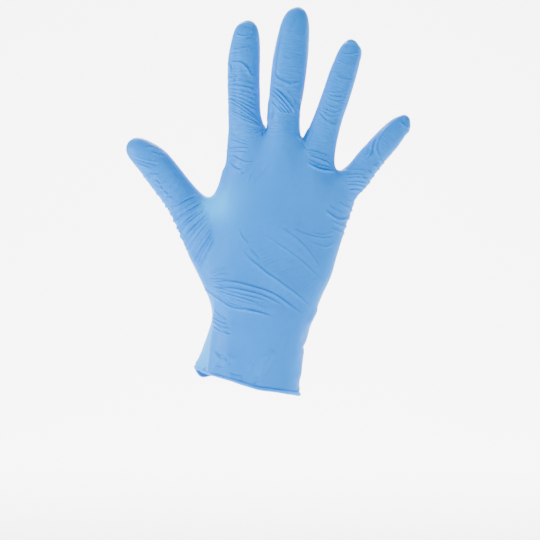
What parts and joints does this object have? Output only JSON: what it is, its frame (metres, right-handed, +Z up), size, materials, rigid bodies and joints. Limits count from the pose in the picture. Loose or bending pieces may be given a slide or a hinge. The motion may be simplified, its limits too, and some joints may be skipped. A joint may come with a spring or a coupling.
{
  "type": "nitrile exam glove",
  "caption": "Thin light blue disposable glove in its worn form on a right hand with spread fingers, with a long cuff that ends in a rolled edge and is open at the wrist.",
  "frame": {"origin": "middle of the cuff opening, where the wrist enters", "axes": "+Z up the hand towards the middle fingertip, -Y out of the back of the hand, +X towards the little finger's side"},
  "size_m": [0.1808, 0.0396, 0.2481],
  "materials": {
    "nitrile": "semi-matte dipped film"
  },
  "bodies": {
    "root": {"glove": "nitrile"}
  },
  "joints": []
}
